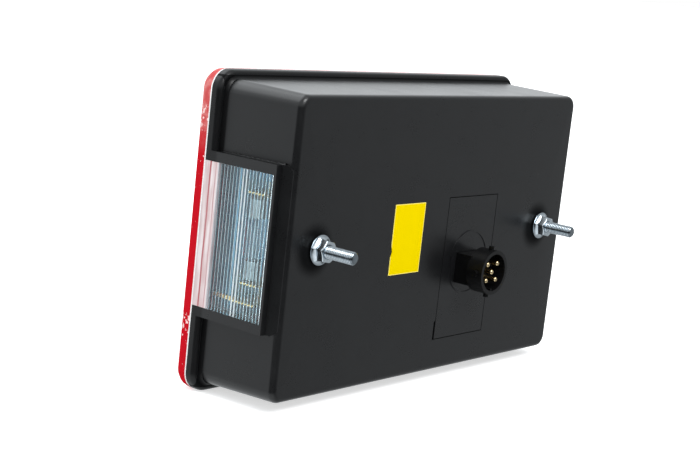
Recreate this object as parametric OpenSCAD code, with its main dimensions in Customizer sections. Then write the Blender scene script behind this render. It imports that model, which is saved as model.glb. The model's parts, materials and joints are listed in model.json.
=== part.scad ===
// Rear combination lamp for a light trailer: box housing, bolted on by two studs.
// The origin is midway between the studs on the mounting face. The lens faces -Y.

/* [Housing] */
// Width of the mounting face
case_w = 188; // [176:0.5:200]
// Height of the mounting face
case_h = 116; // [112:0.5:128]
// Depth from the mounting face to the flange
case_depth = 37; // [35:0.5:42]
// Thickness of the housing walls
wall = 2.4; // [1.8:0.1:3]
// How far each side wall spreads from the mounting face to the flange
draft = 1.2; // [0.4:0.1:2]
// Radius of the four corners that run along the depth
corner_r = 5; // [4:0.5:8]
// Radius of the edges round the mounting face
edge_r = 2.4; // [1:0.2:3.4]
// How far the flange stands out from the side walls
flange_lip = 3.2; // [2.6:0.1:4]
// Thickness of the flange
flange_t = 4.2; // [3.6:0.1:6]
// Radius of the shoulder of the flange
flange_round = 2; // [1:0.1:2.4]
// Corner radius of the flange outline
flange_r = 8; // [7:0.5:12]
// Radius of the fillet between wall and flange
root_fillet = 1.4; // [0.6:0.1:2]

/* [Fixing] */
// Distance between the two studs
stud_spacing = 152; // [140:1:156]
// Thread diameter of the studs
stud_d = 5; // [4:0.5:6]
// Length of each stud behind the mounting face
stud_out = 17.3; // [14:0.1:30]
// Width across flats of the bolt heads and nuts
hex_af = 8; // [7.5:0.5:10]
// Height of a bolt head
head_h = 3.5; // [3:0.1:4]
// Height of a flange nut
nut_h = 5; // [4.5:0.1:6]
// Diameter of the flange of a nut
nut_flange_d = 11.8; // [11:0.1:14]
// Pitch of the thread of the studs
thread_pitch = 0.8; // [0.5:0.05:1]
// How much wider the neck under a bolt head is than the thread
neck_extra = 0.6; // [0.4:0.1:1]
// Running clearance of the studs in their holes, on the diameter
stud_clear = 0.3; // [0.2:0.1:0.6]

/* [Lens] */
// Depth of the lens from the seal to its front
lens_depth = 7.2; // [6.6:0.1:12]
// Thickness of the lens
lens_t = 2.2; // [1.8:0.1:2.8]
// Radius of the front edge of the lens
lens_edge_r = 6; // [4:0.5:6.5]
// Thickness of the seal between flange and lens
seal_t = 0.6; // [0.4:0.1:1.2]
// Width of the seal
seal_w = 3.4; // [2.5:0.1:4.5]
// Height of the amber field
amber_h = 102; // [80:1:104]
// Distance of a lens screw from the end of the lens
screw_inset = 12.4; // [11.6:0.1:13.4]
// Distance of a lens screw from the middle, upwards
screw_z = 40; // [38:0.5:44]
// Shank diameter of a lens screw
screw_d = 3.5; // [3:0.1:4]
// Head diameter of a lens screw
screw_head_d = 6.4; // [6:0.1:6.6]
// Height of the head of a lens screw
screw_head_h = 2.2; // [1.8:0.1:2.6]
// Length of a lens screw under its head
screw_len = 25; // [18:0.5:30]
// Depth of the recess for a lens screw, from the lens front
screw_recess = 5; // [4:0.5:6]
// Width of the reflex reflector
reflex_w = 44; // [30:1:50]
// Height of the reflex reflector
reflex_h = 32; // [20:1:36]
// Distance of the reflex reflector from the middle, upwards
reflex_z = 32; // [28:1:34]

/* [Number plate window] */
// Height of the clear window
window_h = 56; // [48:0.5:60]
// Distance of the window's rear edge from the mounting face
window_back = 6.5; // [6:0.1:9]
// Thickness of the window without its flutes
window_t = 2.2; // [1.8:0.1:2.6]
// Number of flutes across the window
flutes = 20; // [14:1:24]
// How far a flute stands in from the window's inner face
flute_h = 0.3; // [0.15:0.05:0.5]
// Thickness of the rails above and below the window
rail_t = 3.8; // [3:0.1:4.5]
// Thickness of the bar behind the window
bar_t = 1.2; // [0.8:0.1:2]
// How far the ramp behind the bar stands out from the wall
ramp_out = 1.6; // [0.8:0.1:2.4]

/* [Socket] */
// Width of the plate that carries the socket
plate_w = 34.6; // [33:0.2:38]
// Height of the plate that carries the socket
plate_h = 59.8; // [50:0.2:62]
// Thickness of the plate that carries the socket
plate_t = 1.6; // [1.2:0.1:2]
// Gap round the plate
plate_gap = 0.35; // [0.2:0.05:0.6]
// Place of the socket across the lamp
socket_x = -22; // [-24:0.5:-18]
// Place of the socket up the lamp
socket_z = -14.2; // [-16:0.2:-10]
// Width of the square foot of the socket
foot_w = 16; // [15:0.2:17]
// Height of the square foot of the socket
foot_h = 12.6; // [12:0.2:14]
// How far the square foot stands out of the mounting face
foot_out = 7.4; // [6:0.1:9]
// Outer diameter of the bayonet collar
collar_d = 18.8; // [18:0.1:20]
// Bore of the bayonet collar
collar_bore = 15.6; // [15:0.1:16]
// How far the bayonet collar stands out of the mounting face
collar_out = 14.5; // [13:0.1:16]
// Distance of the outer pins from the middle pin, along each axis
pin_pitch = 3.45; // [3:0.05:3.8]
// Diameter of a contact pin
pin_d = 2.2; // [1.8:0.1:2.4]
// Width of the brass strips
strip_w = 2.2; // [1.8:0.1:2.6]
// Thickness of the brass strips
strip_t = 0.5; // [0.4:0.1:0.8]

/* [Bulbs] */
// Largest diameter of the glass of a main bulb
glass_d = 25; // [22:0.5:26]
// Height of the glass of a main bulb above its base
glass_h = 32; // [28:0.5:36]
// Diameter of a main bulb's base
base_d = 15; // [14:0.5:15.5]
// Height of a main bulb's base
base_h = 18; // [16:0.5:20]
// Distance of the indicator bulb from the end of the carrier
indicator_inset = 18; // [17:0.5:22]
// Place of the stop and tail bulb across the lamp
stop_x = -10; // [-12:0.5:-8]
// Distance of the fog bulb from the end of the carrier
fog_inset = 34; // [24:0.5:36]
// Depth of the bulb axes from the mounting face
bulb_depth = 28; // [27:0.5:29]
// Diameter of the glass of the number plate bulb
festoon_d = 9.6; // [8.6:0.1:10.4]
// Length of the number plate bulb over its tips
festoon_len = 36; // [31:0.5:38]
// Diameter of the caps of the number plate bulb
festoon_cap_d = 8.4; // [7:0.1:8.5]
// Length of the straight part of a cap of the number plate bulb
festoon_cap = 8; // [6:0.5:9]
// Depth of the number plate bulb from the mounting face
festoon_depth = 18.5; // [18:0.1:19.5]

/* [Carrier] */
// Distance of the bulb carrier's floor from the mounting face
carrier_back = 11.5; // [11:0.1:13]
// Thickness of the carrier's floor and walls
carrier_t = 1.6; // [1.2:0.1:2]
// Half the height of the carrier
carrier_half_h = 53; // [51:0.5:53.5]
// Depth of the front wall of the number plate chamber
chamber_front = 27; // [26:0.5:29]

/* [Label] */
// Width of the label
label_w = 19.8; // [14:0.2:24]
// Height of the label
label_h = 28.6; // [20:0.2:34]
// Thickness of the label
label_t = 0.15; // [0.1:0.05:0.3]
// Place of the label across the lamp
label_x = 22; // [16:0.5:30]
// Place of the label up the lamp
label_z = 0.5; // [-10:0.5:10]

/* [Hidden] */
$fn = 48;

eps = 0.01;
seat_gap = 0.1;
flange_half_w = case_w / 2 + draft + flange_lip;
flange_half_h = case_h / 2 + draft + flange_lip;
seam = case_depth + flange_t;
lens_back = seam + seal_t;
lens_front = lens_back + lens_depth;
lens_inside = lens_front - lens_t;
inner_half_w = case_w / 2 - wall;
inner_half_h = case_h / 2 - wall;

ramp_start = 1;
ramp_corner = 4;
step_in = 0.3;
reflex_t = 2;

stud_x = stud_spacing / 2;
stud_seat = wall + 1;
stud_boss_d = hex_af / cos(30) + 6.5;
thread_core = stud_d - 0.65 * thread_pitch;
neck_d = stud_d + neck_extra;
screw_x = flange_half_w - screw_inset;
screw_seat = lens_front - screw_recess;
boss_top = seam - 3.2;
boss_d = 8;
boss_bore_depth = 24;

socket_wall = wall + 0.8;
socket_bore = 22;
socket_flange_d = 28;
socket_flange_t = 2;
socket_seal_t = 1.2;
socket_body_d = 18;
socket_tail = 9;
collar_floor = foot_out + 0.4;
insert_w = 2 * pin_pitch + pin_d + 1.6;
lug_d = 2.4;
lug_out = 1.4;
lug_root = 0.6;
lug_back = 2.7;
key_w = 1;
ridge_d = 27;
ridge_w = 0.5;
ridge_out = 0.3;
ridge_shift = [-0.8, 1.8];
notch_w = 1.2;
notch_h = 8;

carrier_margin = 11.6;
nose_gap = 5.2;
nose_len = 15;
strip_z = carrier_back - strip_t;
carrier_far = carrier_margin - inner_half_w;
chamber_end = flange_half_w - window_t - nose_gap;
carrier_end = chamber_end - nose_len;
bulb_x = [carrier_far + indicator_inset, stop_x, carrier_end - fog_inset];
wall_x = [(bulb_x[0] + bulb_x[1]) / 2, (bulb_x[1] + bulb_x[2]) / 2];
holder_low = 11 - carrier_half_h;
holder_h = 16;
holder_t = 1.2;
holder_gap = 0.2;
tab_x = 5.4;
tab_w = 2.6;
earth_bus = 2.7 - carrier_half_h;
fog_low = 6.4 - carrier_half_h;
blade_t = 0.6;
cap_step = 0.6;
blade_z = holder_low - cap_step - 1.6;
lock_h = 7;
lock_d = 2;
lock_out = 1;
slot_w = 2.4;
slot_turn = 20;
slot_reach = base_d / 2 * sin(slot_turn);
chamber_half_h = festoon_len / 2 + 12;
amber_x0 = carrier_far + carrier_t;
amber_x1 = wall_x[0] - 2;
festoon_x = chamber_end - 2;
festoon_z = 1.5;
contact_t = 0.6;
tongue_w = 8;
tongue_past = 3.4;
tip_hole = 5.6;
tip_hole_deep = contact_t + 2;
web_h = 6;
clip_drop = 7.5;
clip_lap = 1;
clip_h = 1.4;
clip_len = 10;
riser_x = carrier_end - 12;
blade_shift = 3.4;
post_d = 6;
stake_d = 3;
post_inset = 5;
posts = [
    for (x = [carrier_far + post_inset, carrier_end - post_inset], sz = [1, -1])
        [x, sz * (carrier_half_h - post_inset)]
];
pins = [[0, 0], [-1, 1], [1, 1], [1, -1], [-1, -1]];

// Turns a shape drawn with its depth along Z so that the depth runs forwards from the mounting face.
module lamp_frame() { rotate([90, 0, 0]) children(); }

// Rounded rectangle made of two bars and four discs.
module rounded_rect(w, h, r) {
    square([w - 2 * r, h], center = true);
    square([w, h - 2 * r], center = true);
    for (sx = [-1, 1], sy = [-1, 1])
        translate([sx * (w / 2 - r), sy * (h / 2 - r)]) circle(r);
}

// Block with round corners, a round edge on its z = 0 face and walls that flare along its depth.
module flared_block(half_w, half_h, depth, r, edge, flare) {
    arc = [for (a = [0 : 22.5 : 90]) [r - edge + edge * sin(a), edge - edge * cos(a)]];
    profile = concat([[0, 0]], arc, [[r + flare, depth], [0, depth]]);
    hull()
        for (sx = [-1, 1], sy = [-1, 1])
            translate([sx * (half_w - r), sy * (half_h - r), 0])
                rotate_extrude($fn = 32) polygon(profile);
}

// Hexagonal prism across the flats af, with its outer corners turned off on top.
module hex_prism(af, h) {
    corner = af / sqrt(3);
    intersection() {
        rotate(30) cylinder(r = corner, h = h, $fn = 6);
        rotate_extrude()
            polygon([[0, 0], [corner + 0.1, 0], [corner + 0.1, h - 0.6], [af / 2 - 0.2, h], [0, h]]);
    }
}

module window_rails() {
    reach = window_h / 2 + rail_t;
    depth = seam - window_back + bar_t;
    translate([inner_half_w, -reach, window_back - bar_t])
        cube([flange_half_w - inner_half_w, 2 * reach, depth]);
    // Ramp from the wall up to the foot of the bar, with round rear corners.
    intersection() {
        rotate([90, 0, 0])
            linear_extrude(2 * reach, center = true)
                polygon([
                    [inner_half_w, ramp_start],
                    [case_w / 2, ramp_start],
                    [case_w / 2 + ramp_out, window_back - bar_t],
                    [inner_half_w, window_back - bar_t]
                ]);
        translate([inner_half_w - 1, 0, ramp_start - 0.5 + case_depth / 2])
            rotate([0, 90, 0])
                linear_extrude(wall + ramp_out + 2) rounded_rect(case_depth, 2 * reach, ramp_corner);
    }
}

module housing_outside() {
    flared_block(case_w / 2, case_h / 2, case_depth + eps, corner_r, edge_r, draft);
    // Fillet between the walls and the flange.
    translate([0, 0, case_depth - root_fillet])
        flared_block(case_w / 2 + draft - 0.1, case_h / 2 + draft - 0.1, root_fillet + eps,
                     corner_r, 0.05, root_fillet);
    // Narrow step inside the shoulder, and the flange itself.
    translate([0, 0, case_depth - step_in])
        linear_extrude(2 * step_in)
            rounded_rect(2 * (flange_half_w - flange_round + step_in),
                         2 * (flange_half_h - flange_round + step_in), flange_r - flange_round + step_in);
    translate([0, 0, case_depth])
        flared_block(flange_half_w, flange_half_h, flange_t, flange_r, flange_round, 0);
    window_rails();
}

module housing() {
    color([0.16, 0.165, 0.175])
    lamp_frame()
    difference() {
        union() {
            difference() {
                housing_outside();
                translate([0, 0, wall])
                    flared_block(inner_half_w, inner_half_h, seam - wall + eps,
                                 corner_r - wall + 1, 1, draft);
            }
            // Pads and bosses on the rear wall.
            for (sx = [-1, 1])
                translate([sx * stud_x, 0, wall - eps])
                    cylinder(d = stud_boss_d, h = stud_seat + head_h - wall + eps);
            translate([socket_x, socket_z, wall / 2])
                linear_extrude(socket_wall - wall / 2) rounded_rect(plate_w + 5, plate_h + 5, 3);
            for (sx = [-1, 1], sz = [-1, 1])
                translate([sx * screw_x, sz * screw_z, wall - eps])
                    cylinder(d = boss_d, h = boss_top - wall + eps);
            for (p = posts)
                translate([p[0], p[1], wall - eps]) {
                    cylinder(d = post_d, h = carrier_back - wall + eps);
                    cylinder(d = stake_d, h = carrier_back - wall + carrier_t + 0.8);
                }
        }
        // Window opening through wall and flange.
        translate([inner_half_w - 3, -window_h / 2, window_back])
            cube([flange_half_w, window_h, seam]);
        for (sx = [-1, 1])
            translate([sx * stud_x, 0, 0]) {
                translate([0, 0, -1]) cylinder(d = neck_d + stud_clear, h = 12);
                translate([0, 0, stud_seat])
                    rotate(30) cylinder(r = (hex_af + 0.2) / sqrt(3), h = 12, $fn = 6);
            }
        for (sx = [-1, 1], sz = [-1, 1])
            translate([sx * screw_x, sz * screw_z, boss_top - boss_bore_depth])
                cylinder(d = screw_d + seat_gap, h = boss_bore_depth + 1);
        // Pocket for the socket plate, with a finger notch, and the bore for the socket.
        translate([socket_x, socket_z, -1]) {
            translate([-plate_w / 2 - plate_gap, -plate_h / 2 - plate_gap, 0])
                cube([plate_w + 2 * plate_gap, plate_h + 2 * plate_gap, 1 + plate_t]);
            translate([plate_w / 2, -plate_h / 2 - plate_gap, 0]) cube([notch_w, notch_h, 1 + plate_t]);
            cylinder(d = socket_bore, h = 2 + socket_wall);
        }
    }
}

// Outer or inner form of the lens, with its round edge at the front.
module lens_block(half_w, half_h, depth, r, edge) {
    mirror([0, 0, 1]) flared_block(half_w, half_h, depth, r, edge, 0);
}

module amber_outline(grow = 0) {
    translate([(amber_x0 + amber_x1) / 2, 0])
        square([amber_x1 - amber_x0 + 2 * grow, amber_h + 2 * grow], center = true);
}

module lens_red() {
    color([0.75, 0.04, 0.07])
    lamp_frame()
    difference() {
        union() {
            difference() {
                translate([0, 0, lens_front])
                    lens_block(flange_half_w, flange_half_h, lens_depth, flange_r, lens_edge_r);
                translate([0, 0, lens_inside])
                    lens_block(flange_half_w - lens_t, flange_half_h - lens_t, lens_depth,
                               flange_r - lens_t, lens_edge_r - lens_t);
            }
            for (sx = [-1, 1], sz = [-1, 1])
                translate([sx * screw_x, sz * screw_z, boss_top])
                    cylinder(d = boss_d, h = lens_front - boss_top - 0.5);
        }
        for (sx = [-1, 1], sz = [-1, 1])
            translate([sx * screw_x, sz * screw_z, 0]) {
                translate([0, 0, boss_top - 1]) cylinder(d = screw_d + 0.4, h = lens_front);
                translate([0, 0, screw_seat]) cylinder(d = screw_head_d + 0.4, h = lens_front);
            }
        translate([0, 0, lens_inside - 1]) linear_extrude(lens_t + 2) amber_outline();
    }
}

module lens_amber() {
    color([0.95, 0.5, 0.05])
    lamp_frame()
    translate([0, 0, lens_inside]) linear_extrude(lens_t) amber_outline();
}

module reflex_reflector() {
    color([0.6, 0.02, 0.05])
    lamp_frame()
    translate([bulb_x[2] + 4, reflex_z, lens_inside - reflex_t])
        linear_extrude(reflex_t) square([reflex_w, reflex_h], center = true);
}

module lens_seal() {
    color([0.93, 0.93, 0.92])
    lamp_frame()
    translate([0, 0, seam])
        linear_extrude(seal_t)
            difference() {
                rounded_rect(2 * flange_half_w, 2 * flange_half_h, flange_r);
                rounded_rect(2 * (flange_half_w - seal_w), 2 * (flange_half_h - seal_w), flange_r - seal_w);
            }
}

module plate_window() {
    span = seam - window_back - seat_gap;
    pitch = (span - 2) / flutes;
    inner_x = flange_half_w - window_t;
    // A flute is a shallow arc of this radius, whose chord is the pitch less a narrow flat.
    chord = pitch - 0.04;
    flute_r = (chord * chord / 4 + flute_h * flute_h) / (2 * flute_h);
    first_y = window_back + seat_gap + 1 + pitch / 2;
    color([0.85, 0.9, 0.93, 0.5])
    lamp_frame()
    rotate([90, 0, 0])
        linear_extrude(window_h - 2 * seat_gap, center = true)
            intersection() {
                union() {
                    translate([inner_x, window_back + seat_gap]) square([window_t, span]);
                    for (i = [0 : flutes - 1])
                        translate([inner_x - flute_h + flute_r, first_y + pitch * i])
                            circle(flute_r, $fn = 48);
                }
                translate([inner_x - 2 * flute_h, window_back + seat_gap])
                    square([window_t + 2 * flute_h, span]);
            }
}

module socket_plate() {
    color([0.17, 0.175, 0.185])
    lamp_frame()
    translate([socket_x, socket_z, 0])
    difference() {
        union() {
            translate([-plate_w / 2, -plate_h / 2, 0]) cube([plate_w, plate_h, plate_t]);
            // Low round ridge that guides the cap of the plug.
            translate([ridge_shift[0], ridge_shift[1], -ridge_out])
                difference() {
                    cylinder(d = ridge_d, h = ridge_out + eps);
                    translate([0, 0, -1]) cylinder(d = ridge_d - 2 * ridge_w, h = 2);
                }
        }
        translate([0, 0, -1])
            linear_extrude(plate_t + 2) square([foot_w + 2 * seat_gap, foot_h + 2 * seat_gap], center = true);
        translate([0, 0, plate_t - 0.4]) cylinder(d = socket_body_d + 0.6, h = 1);
    }
}

module bayonet_socket() {
    seal_face = socket_wall + socket_seal_t;
    color([0.05, 0.05, 0.055])
    lamp_frame()
    translate([socket_x, socket_z, 0])
    difference() {
        union() {
            translate([-foot_w / 2, -foot_h / 2, -foot_out]) cube([foot_w, foot_h, foot_out + plate_t]);
            translate([0, 0, -collar_out]) cylinder(d = collar_d, h = collar_out - foot_out + 0.6);
            translate([0, 0, plate_t - 0.2]) cylinder(d = socket_body_d, h = socket_tail - plate_t);
            translate([0, 0, seal_face]) cylinder(d = socket_flange_d, h = socket_flange_t);
            // Three bayonet lugs: towards the window, up and down.
            for (a = [0, 90, 270])
                rotate(a)
                    translate([collar_d / 2 - lug_root, 0, lug_back - collar_out])
                        rotate([0, 90, 0]) cylinder(d = lug_d, h = lug_out + lug_root);
        }
        translate([0, 0, -collar_out - 1]) cylinder(d = collar_bore, h = collar_out + 1 - collar_floor);
        // Square hole for the insert that carries the pins.
        translate([0, 0, -collar_out])
            linear_extrude(collar_out + socket_tail + 1) square(insert_w + seat_gap, center = true);
    }
    // Key rib at the foot of the bore.
    color([0.05, 0.05, 0.055])
    lamp_frame()
    translate([socket_x - key_w / 2, socket_z - collar_bore / 2 - 0.2, 0.5 - collar_out])
        cube([key_w, key_w, collar_out - collar_floor]);
}

// Square insert in the socket that holds the five pins.
module pin_carrier() {
    color([0.07, 0.07, 0.075])
    lamp_frame()
    translate([socket_x, socket_z, -collar_floor])
    difference() {
        linear_extrude(collar_floor + socket_tail - 0.2) square(insert_w, center = true);
        for (p = pins)
            translate([p[0] * pin_pitch, p[1] * pin_pitch, -1])
                cylinder(d = pin_d, h = collar_floor + socket_tail + 2);
    }
}

module socket_seal() {
    color([0.1, 0.1, 0.1])
    lamp_frame()
    translate([socket_x, socket_z, socket_wall])
        difference() {
            cylinder(d = socket_flange_d - 1, h = socket_seal_t);
            translate([0, 0, -1]) cylinder(d = socket_bore + 0.5, h = socket_seal_t + 2);
        }
}

module contact_pin(i) {
    tip = -collar_out + 0.6;
    p = pins[i];
    color([0.85, 0.65, 0.3])
    lamp_frame()
    translate([socket_x + p[0] * pin_pitch, socket_z + p[1] * pin_pitch, tip])
        rotate_extrude()
            polygon([
                [0, 0],
                [pin_d / 2 - 0.5, 0],
                [pin_d / 2, 0.5],
                [pin_d / 2, strip_z - tip],
                [0, strip_z - tip]
            ]);
}

// Bolt from inside: a hexagon head, a neck in the wall, and a thread whose middle line the nut meets.
module stud(side) {
    color([0.75, 0.77, 0.8])
    lamp_frame()
    translate([side * stud_x, 0, 0]) {
        translate([0, 0, stud_seat]) hex_prism(hex_af, head_h);
        translate([0, 0, -stud_out])
            rotate_extrude()
                polygon([
                    [0, 0],
                    [stud_d / 2 - 0.6, 0],
                    [stud_d / 2, 0.6],
                    [stud_d / 2, stud_out - nut_h],
                    [thread_core / 2, stud_out - nut_h],
                    [thread_core / 2, stud_out],
                    [neck_d / 2, stud_out],
                    [neck_d / 2, stud_out + stud_seat],
                    [0, stud_out + stud_seat]
                ]);
    }
}

module flange_nut(side) {
    color([0.78, 0.8, 0.83])
    lamp_frame()
    translate([side * stud_x, 0, 0])
    mirror([0, 0, 1])
    difference() {
        union() {
            hex_prism(hex_af, nut_h);
            rotate_extrude()
                polygon([
                    [0, 0],
                    [nut_flange_d / 2 - 0.3, 0],
                    [nut_flange_d / 2, 0.3],
                    [nut_flange_d / 2, 0.8],
                    [hex_af / 2, 1.9],
                    [0, 1.9]
                ]);
        }
        translate([0, 0, -1]) cylinder(d = thread_core + seat_gap, h = nut_h + 2);
    }
}

module label() {
    color([0.98, 0.85, 0.02])
    lamp_frame()
    translate([label_x - label_w / 2, label_z - label_h / 2, -label_t]) cube([label_w, label_h, label_t]);
}

module lens_screw(sx, sz) {
    color([0.7, 0.72, 0.75])
    lamp_frame()
    translate([sx * screw_x, sz * screw_z, screw_seat])
    difference() {
        union() {
            cylinder(d = screw_head_d, h = screw_head_h);
            translate([0, 0, -screw_len]) cylinder(d = screw_d, h = screw_len + eps);
        }
        for (a = [0, 90])
            rotate(a) translate([-1.6, -0.35, screw_head_h - 1.1]) cube([3.2, 0.7, 2]);
    }
}

// Plan of the bulb carrier: the main tray, and the nose that reaches towards the window.
module carrier_plan(grow = 0) {
    translate([(carrier_far + carrier_end) / 2, 0])
        square([carrier_end - carrier_far + 2 * grow, 2 * (carrier_half_h + grow)], center = true);
}

module nose_plan(grow = 0) {
    translate([carrier_end - 4 - grow, -chamber_half_h - grow])
        square([chamber_end - carrier_end + 4 + 2 * grow, 2 * (chamber_half_h + grow)]);
}

module bulb_carrier() {
    rim = lens_inside - 0.8;
    color([0.48, 0.63, 0.7])
    lamp_frame()
    difference() {
        union() {
            difference() {
                union() {
                    translate([0, 0, carrier_back]) linear_extrude(rim - carrier_back) carrier_plan();
                    translate([0, 0, chamber_front]) linear_extrude(seam - chamber_front) nose_plan();
                }
                translate([0, 0, carrier_back + carrier_t])
                    linear_extrude(rim) carrier_plan(-carrier_t);
                translate([0, 0, chamber_front + carrier_t]) linear_extrude(rim) nose_plan(-carrier_t);
            }
            // Chamber walls between the bulbs.
            for (i = [0, 1])
                translate([wall_x[i], 0, (carrier_back + rim) / 2])
                    cube([carrier_t, 2 * carrier_half_h - carrier_t, rim - carrier_back], center = true);
        }
        for (p = posts)
            translate([p[0], p[1], carrier_back - 1]) cylinder(d = stake_d + 2 * seat_gap, h = 6);
        // Slots for the foot of each holder and for the contact blade under each bulb.
        for (x = bulb_x) {
            translate([x + tab_x + tab_w / 2, earth_bus, carrier_back + 1])
                cube([tab_w + 2 * holder_gap, 2 + 2 * holder_gap, 4], center = true);
            translate([x, blade_z + blade_t / 2, carrier_back + 1]) cube([13, 1.2, 4], center = true);
        }
    }
}

// Bulb holder: a tube on a flat foot, with an earth tab through the carrier's floor.
module holder(x) {
    floor_z = carrier_back + carrier_t;
    bore = base_d + 2 * holder_gap;
    outer = bore + 2 * holder_t;
    color([0.8, 0.81, 0.82])
    lamp_frame()
    difference() {
        union() {
            translate([x, holder_low, bulb_depth]) rotate([-90, 0, 0]) cylinder(d = outer, h = holder_h);
            translate([x - 2, holder_low, floor_z]) cube([4, holder_h, bulb_depth - floor_z]);
            translate([x - tab_x - tab_w, holder_low, floor_z]) cube([2 * (tab_x + tab_w), holder_h, 1]);
            translate([x + tab_x, earth_bus - 1, floor_z]) cube([tab_w, holder_low - earth_bus + 1 + eps, 1]);
            translate([x + tab_x, earth_bus - 1, carrier_back]) cube([tab_w, 2, carrier_t + 1]);
        }
        translate([x, holder_low - 1, bulb_depth]) rotate([-90, 0, 0]) cylinder(d = bore, h = holder_h + 2);
        // Bayonet slots: a leg from the rim down, and a short turn to the pin.
        translate([x, holder_low, bulb_depth])
            rotate([-90, 0, 0])
                for (a = [0, 180])
                    rotate(a) {
                        rotate(slot_turn) slot_cut(slot_w, lock_h - slot_w / 2, holder_h);
                        rotate(slot_turn / 2) slot_cut(slot_w + slot_reach, lock_h - slot_w / 2, slot_w);
                    }
    }
}

// Cut through the wall of a holder, w wide, from height z0 upwards.
module slot_cut(w, z0, h) {
    translate([base_d / 2 - 1, -w / 2, z0]) cube([4, w, h]);
}

module bulb_base(x) {
    color([0.82, 0.83, 0.84])
    lamp_frame()
    translate([x, holder_low - cap_step, bulb_depth])
        rotate([-90, 0, 0]) {
            // Two bayonet pins.
            translate([0, 0, lock_h + cap_step])
                rotate([0, 90, 0]) cylinder(d = lock_d, h = base_d + 2 * lock_out, center = true);
            rotate_extrude()
                polygon([
                    [0, 0],
                    [2.4, 0],
                    [2.4, 1],
                    [base_d / 2 - 1, 1],
                    [base_d / 2, 2],
                    [base_d / 2, base_h],
                    [0, base_h]
                ]);
        }
}

// Pear-shaped glass: a neck that opens into a sphere.
module bulb_glass(x) {
    r = glass_d / 2;
    neck = base_d / 2 - 1;
    centre = glass_h - r;
    low = -acos(neck / r);
    color([0.9, 0.93, 0.95, 0.5])
    lamp_frame()
    translate([x, holder_low - cap_step + base_h, bulb_depth])
        rotate([-90, 0, 0])
            rotate_extrude()
                polygon(concat(
                    [[0, 0], [neck, 0]],
                    [for (t = [0 : 12]) let (a = low + (90 - low) * t / 12) [r * cos(a), centre + r * sin(a)]]
                ));
}

module festoon_frame() {
    lamp_frame() translate([festoon_x, festoon_z, festoon_depth]) rotate([-90, 0, 0]) children();
}

festoon_half = festoon_len / 2;
festoon_tip = 1.8;
festoon_glass_half = festoon_half - festoon_tip - festoon_cap;

module plate_bulb_glass() {
    r = festoon_d / 2;
    neck = festoon_cap_d / 2 - 0.4;
    color([0.85, 0.9, 0.95, 0.5])
    festoon_frame()
        rotate_extrude()
            polygon(concat(
                [[0, -festoon_glass_half], [neck, -festoon_glass_half]],
                [for (t = [0 : 8]) let (s = -1 + t / 4)
                    [neck + (r - neck) * (1 - pow(s, 4)), s * (festoon_glass_half - 0.2)]],
                [[neck, festoon_glass_half], [0, festoon_glass_half]]
            ));
}

module plate_bulb_cap(side) {
    r = festoon_cap_d / 2;
    color([0.75, 0.74, 0.72])
    lamp_frame()
    translate([festoon_x, festoon_z, festoon_depth])
    mirror([0, side > 0 ? 0 : 1, 0])
        rotate([-90, 0, 0])
            rotate_extrude()
                polygon([
                    [0, festoon_glass_half],
                    [r, festoon_glass_half],
                    [r, festoon_half - festoon_tip - 1],
                    [r - 1, festoon_half - festoon_tip],
                    [1.2, festoon_half],
                    [0, festoon_half]
                ]);
}

// Spring contact: a web on the carrier's end wall and a tongue whose hole takes the tip of the bulb.
module contact_tongue(z0) {
    translate([carrier_end, z0, festoon_depth - tongue_w / 2])
        cube([festoon_x + tongue_past - carrier_end, contact_t, tongue_w]);
}

module plate_contact_upper() {
    tongue = festoon_z + festoon_half - 1;
    color([0.8, 0.55, 0.2])
    lamp_frame()
    difference() {
        union() {
            contact_tongue(tongue);
            translate([carrier_end, tongue - web_h / 2, strip_z])
                cube([contact_t, web_h, festoon_depth + tongue_w / 2 - strip_z]);
        }
        translate([festoon_x, tongue - 1, festoon_depth])
            rotate([-90, 0, 0]) cylinder(d = tip_hole, h = tip_hole_deep);
    }
}

module plate_contact_lower() {
    tongue = festoon_z - festoon_half + 1 - contact_t;
    foot = tongue - clip_drop;
    color([0.8, 0.55, 0.2])
    lamp_frame()
    difference() {
        union() {
            contact_tongue(tongue);
            translate([carrier_end, foot - clip_lap, strip_z])
                cube([contact_t, clip_drop + clip_lap + contact_t, festoon_depth + tongue_w / 2 - strip_z]);
            translate([carrier_end, foot, festoon_depth - tongue_w / 2])
                cube([festoon_x + tongue_past - carrier_end, contact_t,
                      chamber_front - festoon_depth + tongue_w / 2]);
            translate([chamber_end, foot, chamber_front - clip_lap]) cube([contact_t, clip_h, clip_len]);
        }
        translate([festoon_x, tongue - 1, festoon_depth])
            rotate([-90, 0, 0]) cylinder(d = tip_hole, h = tip_hole_deep);
    }
}

// Flat brass strip along a route of square turns, lying on the rear of the carrier.
module strip(route) {
    translate([0, 0, strip_z])
        linear_extrude(strip_t)
            for (i = [0 : len(route) - 2])
                let (a = route[i], b = route[i + 1])
                    translate([min(a[0], b[0]) - strip_w / 2, min(a[1], b[1]) - strip_w / 2])
                        square([abs(a[0] - b[0]) + strip_w, abs(a[1] - b[1]) + strip_w]);
}

// Blade that stands through the carrier's floor under the end contact of a bulb.
module blade(x, w) {
    translate([x - w / 2, blade_z, carrier_back - eps]) cube([w, blade_t, bulb_depth + 2 - carrier_back]);
    translate([x - w / 2, blade_z, bulb_depth - 2]) cube([w, holder_low - cap_step - blade_z, 4]);
}

function pin_at(i) = [socket_x + pins[i][0] * pin_pitch, socket_z + pins[i][1] * pin_pitch];

module earth_strip() {
    foot = festoon_z - festoon_half + 1 - contact_t - clip_drop;
    start = pin_at(4);
    color([0.82, 0.58, 0.25])
    lamp_frame() {
        strip([start, [start[0], earth_bus]]);
        strip([
            [bulb_x[0], earth_bus],
            [riser_x, earth_bus],
            [riser_x, foot + 1],
            [carrier_end - strip_w / 2, foot + 1]
        ]);
    }
}

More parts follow.
